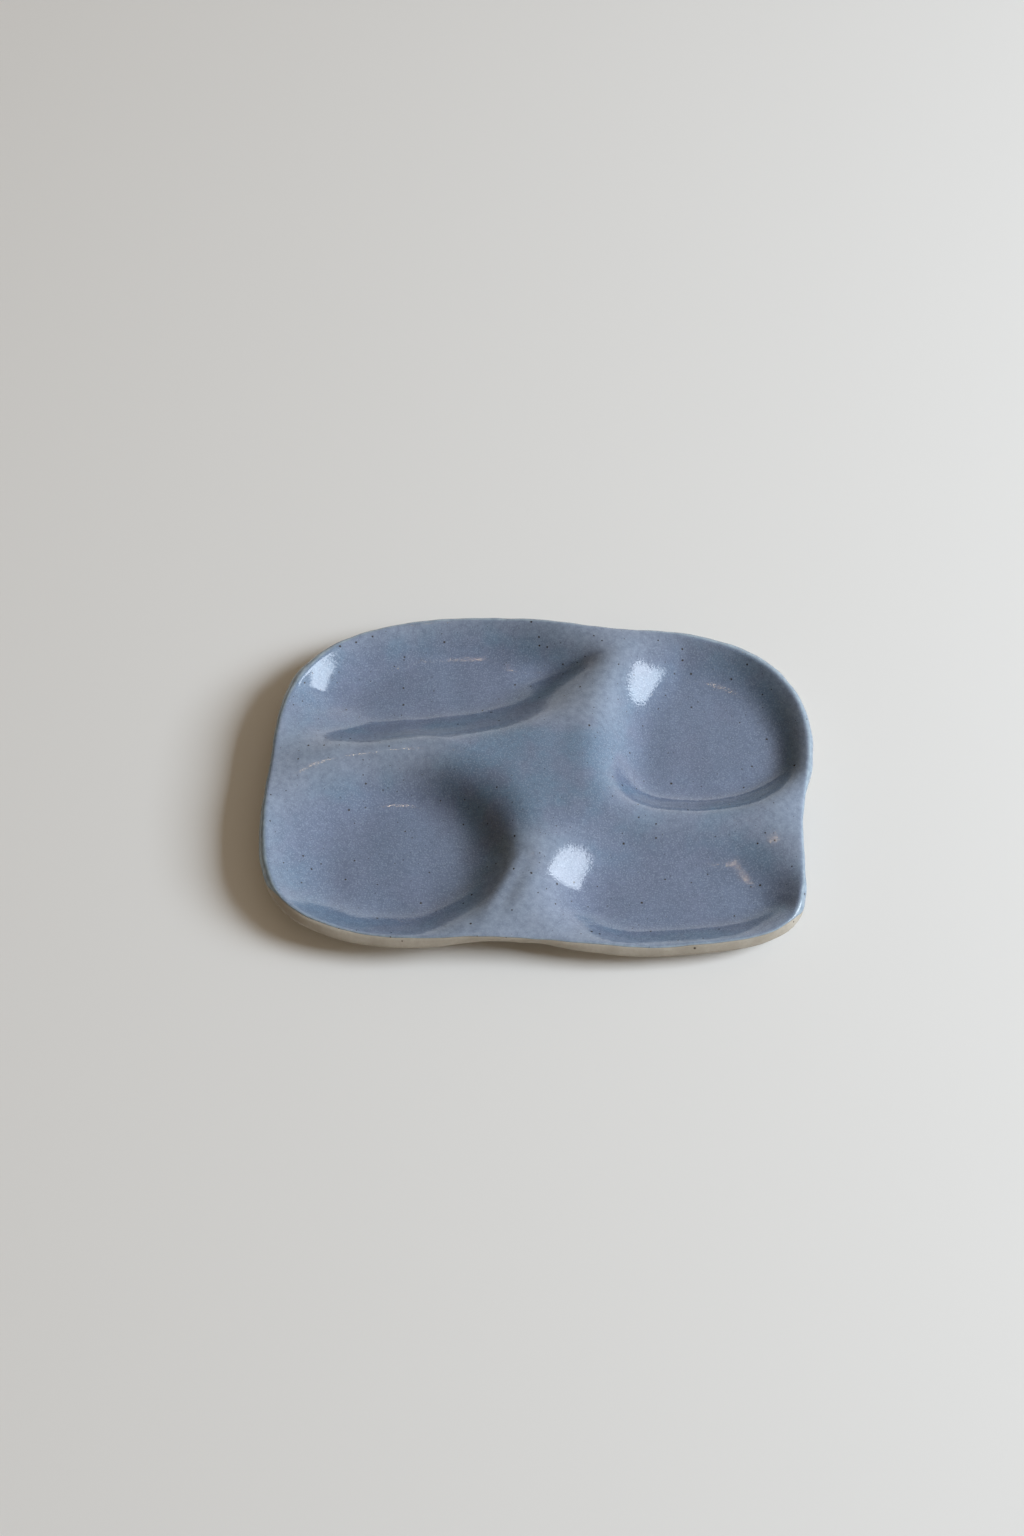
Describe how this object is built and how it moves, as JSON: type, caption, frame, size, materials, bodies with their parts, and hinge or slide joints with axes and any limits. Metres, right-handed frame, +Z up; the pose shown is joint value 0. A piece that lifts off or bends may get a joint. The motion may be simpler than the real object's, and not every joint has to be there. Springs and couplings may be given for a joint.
{
  "type": "snack plate",
  "caption": "Low hand-formed stoneware plate with soft wells parted by rounded ridges, glazed blue-grey on top, with a bare clay edge and underside.",
  "frame": {"origin": "middle of the plate's outline, on the plane that its sanded flats stand on", "axes": "+X to the right along the plate's length, +Y to the back, +Z up out of the wells"},
  "size_m": [0.2156, 0.154, 0.019],
  "materials": {
    "bare_stoneware": "matte, speckled",
    "blue_grey_glaze": "glossy, speckled"
  },
  "bodies": {
    "root": {"stoneware_body": "bare_stoneware", "glaze_coat": "blue_grey_glaze"}
  },
  "joints": []
}
